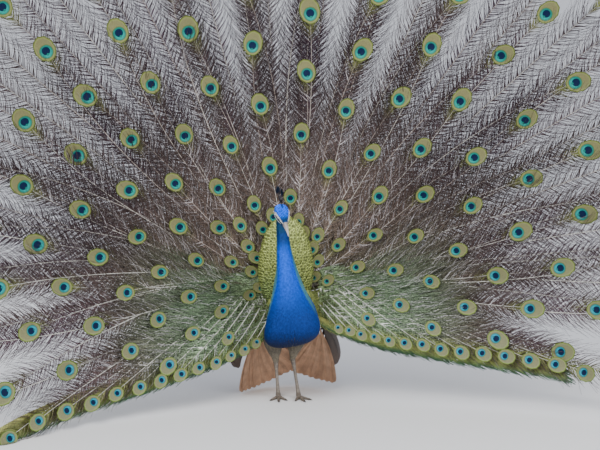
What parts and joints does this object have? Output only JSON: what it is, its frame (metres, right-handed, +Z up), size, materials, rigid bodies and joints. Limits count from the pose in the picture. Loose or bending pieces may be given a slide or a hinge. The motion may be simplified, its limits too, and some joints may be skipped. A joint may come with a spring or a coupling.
{
  "type": "male indian peafowl figure, display pose",
  "caption": "Life-size standing male Indian peafowl with its eyed train raised in a wide shallow dish, drooped wings and a fan crest, a still display model.",
  "frame": {"origin": "on the floor, under the middle of the whole display's bounding box", "axes": "+Z up, the bird faces -Y, +X towards its left wing"},
  "size_m": [2.8654, 0.8946, 1.8196],
  "materials": {
    "train_bronze": "satin, bronze and green sheen",
    "train_green": "satin, bronze and green sheen",
    "claw_horn": "smooth horn",
    "bill_horn": "smooth horn",
    "eye": "wet gloss",
    "leg_scales": "dry scaled skin",
    "shin_feathers": "short matt feathers over flesh",
    "wing_primary": "matt feather vane",
    "wing_secondary": "matt feather vane",
    "wing_barred": "matt feathers",
    "back_feathers": "feathers over flesh",
    "breast_blue": "silky iridescent feathers over flesh",
    "head_blue": "short velvety feathers over flesh",
    "shield_gold": "scaly iridescent feathers",
    "crest_blue": "fine feather tips",
    "tail_brown": "stiff matt feathers",
    "undertail_down": "soft down"
  },
  "bodies": {
    "root": {"back": "back_feathers", "back_shield": "shield_gold", "bill_lower": "bill_horn", "bill_upper": "bill_horn", "breast": "breast_blue", "claw_left_hind": "claw_horn", "claw_left_inner": "claw_horn", "claw_left_middle": "claw_horn", "claw_left_outer": "claw_horn", "claw_right_hind": "claw_horn", "claw_right_inner": "claw_horn", "claw_right_middle": "claw_horn", "claw_right_outer": "claw_horn", "crest": "crest_blue", "eye_left": "eye", "eye_right": "eye", "foot_left": "leg_scales", "foot_right": "leg_scales", "head": "head_blue", "neck": "breast_blue", "primaries_left": "wing_primary", "primaries_right": "wing_primary", "rump": "back_feathers", "secondaries_left": "wing_secondary", "secondaries_right": "wing_secondary", "spur_left": "claw_horn", "spur_right": "claw_horn", "tail": "tail_brown", "thigh_left": "shin_feathers", "thigh_right": "shin_feathers", "train_inner_01": "train_green", "train_inner_02": "train_green", "train_inner_03": "train_green", "train_inner_04": "train_green", "train_inner_05": "train_green", "train_inner_06": "train_green", "train_inner_07": "train_green", "train_outer_01": "train_bronze", "train_outer_02": "train_bronze", "train_outer_03": "train_bronze", "train_outer_04": "train_bronze", "train_outer_05": "train_bronze", "train_outer_06": "train_bronze", "train_outer_07": "train_bronze", "train_outer_08": "train_bronze", "train_outer_09": "train_bronze", "train_outer_10": "train_bronze", "train_outer_11": "train_bronze", "train_outer_12": "train_bronze", "train_outer_13": "train_bronze", "train_outer_14": "train_bronze", "train_outer_15": "train_bronze", "train_outer_16": "train_bronze", "undertail": "undertail_down", "wing_left": "wing_barred", "wing_right": "wing_barred"}
  },
  "joints": []
}
